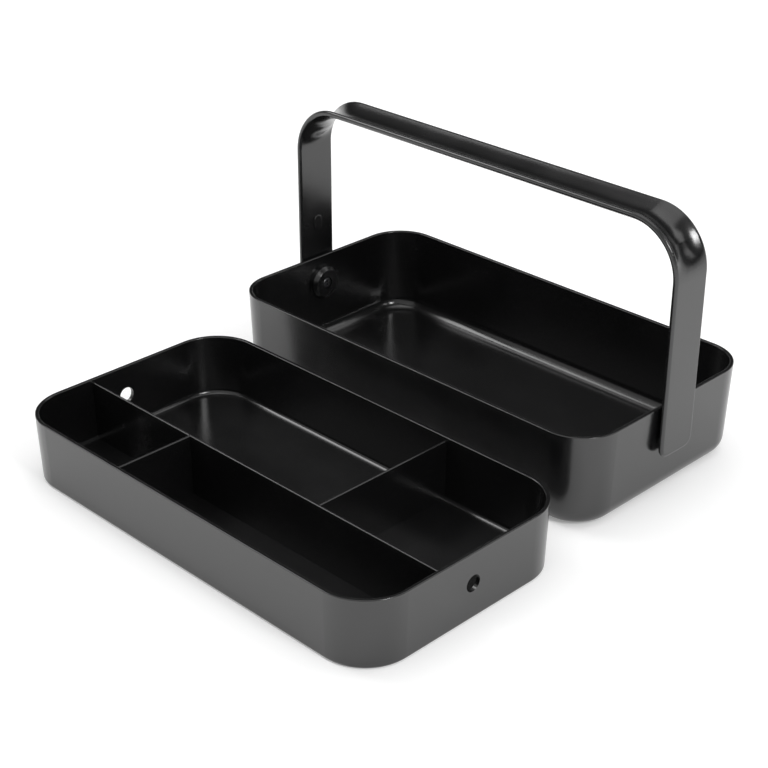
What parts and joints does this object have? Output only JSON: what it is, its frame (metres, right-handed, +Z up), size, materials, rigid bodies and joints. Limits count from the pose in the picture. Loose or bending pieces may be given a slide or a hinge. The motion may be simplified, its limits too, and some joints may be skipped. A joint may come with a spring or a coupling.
{
  "type": "tool storage caddy",
  "caption": "Open rounded bin with a swinging hoop handle on hinge hubs, and a loose divided tray of the same outline that stands beside it.",
  "frame": {"origin": "centre of the underside of the bin, on the surface that it stands on", "axes": "+X along the bin, +Y across the bin and away from the tray, +Z up"},
  "size_m": [0.2876, 0.3103, 0.1588],
  "materials": {
    "bin_plastic": "smooth moulded gloss",
    "tray_plastic": "smooth moulded gloss",
    "handle_plastic": "smooth moulded gloss",
    "cap_plastic": "smooth moulded gloss",
    "screw_steel": "blackened",
    "washer_plastic": "matte"
  },
  "bodies": {
    "bin": {"bin": "bin_plastic", "friction_washer_left": "washer_plastic", "friction_washer_right": "washer_plastic"},
    "handle": {"handle": "handle_plastic", "hub_cap_left": "cap_plastic", "hub_cap_right": "cap_plastic", "hub_screw_left": "screw_steel", "hub_screw_right": "screw_steel"},
    "tray": {"tray": "tray_plastic"}
  },
  "joints": [
    {"name": "handle_swing", "type": "hinge", "parent": "bin", "child": "handle", "pos_m": [0, 0, 0.0382], "axis": [1, 0, 0], "range_deg": [-95, 80]},
    {"name": "tray_lift", "type": "slide", "parent": "bin", "child": "tray", "axis": [0, 0, 1], "range_m": [0, 0.15]}
  ]
}
